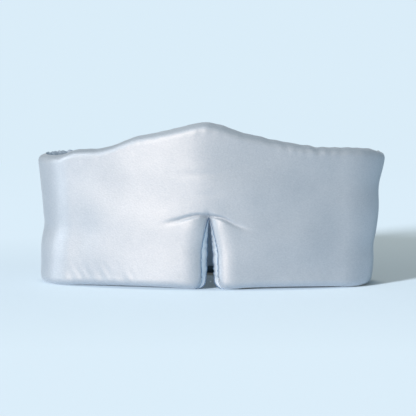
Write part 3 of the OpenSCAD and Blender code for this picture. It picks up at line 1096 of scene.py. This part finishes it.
# Name, azimuth, elevation, distance, size, power and colour of the soft lights on the mask
SOFT_LIGHTS = [
    ("key", -19, 14, 1.8, (0.40, 0.9), 16.5, (1.0, 0.78, 0.64)),
    ("top", -30, 62, 1.4, (0.9, 0.9), 3.2, (0.95, 0.98, 1.0)),
    ("side", -62, 20, 1.6, (0.9, 0.9), 10, (1.0, 0.98, 0.98)),
]


def distance_of(nodes, scale=(1, 1, 1)):
    """Distance from the origin in scaled object coordinates."""
    length = node(nodes, "ShaderNodeVectorMath", operation="LENGTH")
    wire(mapped(nodes, scale=scale), "Vector", length, 0)
    return length


def loop_shade(nodes):
    """The share of the floor's glow that shows round the loop."""
    reach = FLOOR_SHADE[-1][0]
    shade = node(nodes, "ShaderNodeValToRGB")
    steps = shade.color_ramp.elements
    while len(steps) < len(FLOOR_SHADE):
        steps.new(0.5)
    for step, (at, grey) in zip(steps, FLOOR_SHADE):
        step.position = at / reach
        step.color = (grey, grey, grey, 1)
    scale = (1 / HALF_W / reach, 1 / BACK_Y / reach, 1)
    wire(distance_of(nodes, scale), "Value", shade, "Fac")
    return shade


def floor_material():
    """Close to the mask the floor takes light and shadow, further off it glows."""
    material, nodes, shader = new_material("backdrop")
    set_values(shader, Base_Color=(0.41, 0.49, 0.55, 1), Roughness=1.0, Specular_IOR_Level=0.0)
    set_values(shader, Emission_Color=(*FLOOR_GLOW, 1))
    glow = node(nodes, "ShaderNodeEmission", Color=(*BACKDROP, 1))
    path = node(nodes, "ShaderNodeLightPath")
    seen = node(nodes, "ShaderNodeMapRange", To_Min=FLOOR_BOUNCE)
    wire(path, "Is Camera Ray", seen, "Value")
    wire(seen, "Result", glow, "Strength")
    product = node(nodes, "ShaderNodeMath", operation="MULTIPLY")
    wire(seen, "Result", product, 0)
    wire(loop_shade(nodes), "Color", product, 1)
    wire(product, "Value", shader, "Emission Strength")
    share = node(nodes, "ShaderNodeMapRange", interpolation_type="SMOOTHSTEP")
    set_values(share, From_Min=FLOOR_FADE[0], From_Max=FLOOR_FADE[1])
    wire(distance_of(nodes), "Value", share, "Value")
    mix = node(nodes, "ShaderNodeMixShader")
    wire(share, "Result", mix, 0)
    wire(shader, "BSDF", mix, 1)
    wire(glow, "Emission", mix, 2)
    wire(mix, "Shader", nodes["Material Output"], "Surface")
    return material


def backdrop():
    """A pale round floor whose edge is too far off to see."""
    r, a = np.meshgrid(FLOOR_RINGS, np.linspace(0, 2 * math.pi, 49))
    grid = np.stack([r * np.cos(a), r * np.sin(a), 0 * r], -1)
    made = mesh_object("backdrop", grid.reshape(-1, 3), grid_faces(*r.shape))
    made.data.materials.append(floor_material())
    return made


def world():
    """Even light from all round. Straight behind the object it shows as the backdrop's own colour."""
    made = bpy.data.worlds.new("world")
    made.use_nodes = True
    nodes = made.node_tree.nodes
    seen = node(nodes, "ShaderNodeBackground", Color=(*BACKDROP, 1), Strength=1.0)
    lit = nodes["Background"]
    set_values(lit, Color=(*AMBIENT_COLOUR, 1), Strength=AMBIENT)
    mix = node(nodes, "ShaderNodeMixShader")
    path = node(nodes, "ShaderNodeLightPath")
    wire(path, "Is Camera Ray", mix, 0)
    wire(lit, "Background", mix, 1)
    wire(seen, "Background", mix, 2)
    wire(mix, "Shader", nodes["World Output"], "Surface")
    bpy.context.scene.world = made


def add_light(name, kind, azimuth, elevation, distance, power, colour, only):
    """A light aimed at the mask that lights one collection only.
    Azimuth 0 is in front of the mask, negative to its left."""
    data = bpy.data.lights.new(name, kind)
    data.energy = power
    data.color = colour
    a, e = math.radians(azimuth), math.radians(elevation)
    direction = Vector((math.sin(a) * math.cos(e), -math.cos(a) * math.cos(e), math.sin(e)))
    light = new_object(name, data)
    light.location = Vector(LIGHT_TARGET) + direction * distance
    light.rotation_euler = (-direction).to_track_quat("-Z", "Y").to_euler()
    light.light_linking.receiver_collection = only
    return data


def collection_of(name, obj, state):
    """A collection that a light may light: only obj, or everything else when state is EXCLUDE."""
    made = bpy.data.collections.new(name)
    made.objects.link(obj)
    made.collection_objects[0].light_linking.link_state = state
    return made


def camera():
    data = bpy.data.cameras.new("camera")
    data.sensor_width = SENSOR
    data.lens = LENS
    view = new_object("camera", data)
    view.location = (
        CAMERA_DISTANCE * math.sin(CAMERA_AZIMUTH),
        -BACK_Y - CAMERA_DISTANCE * math.cos(CAMERA_AZIMUTH),
        CAMERA_HEIGHT,
    )
    pitch = math.atan((0.5 - HORIZON_SHARE) * SENSOR / LENS)
    view.rotation_euler = (math.pi / 2 - pitch, 0, CAMERA_AZIMUTH)
    bpy.context.scene.camera = view


floor = backdrop()
world()
on_floor = collection_of("lit_floor", floor, "INCLUDE")
on_mask = collection_of("lit_mask", floor, "EXCLUDE")
sun = add_light("floor_key", "SUN", -44.5, 12.7, 1.0, 12.6, (0.95, 0.95, 1.0), on_floor)
sun.angle = math.radians(8.0)
for name, azimuth, elevation, distance, size, power, colour in SOFT_LIGHTS:
    soft = add_light(name, "AREA", azimuth, elevation, distance, power, colour, on_mask)
    soft.shape = "RECTANGLE"
    soft.size, soft.size_y = size
camera()
bpy.context.scene.view_settings.view_transform = "Standard"
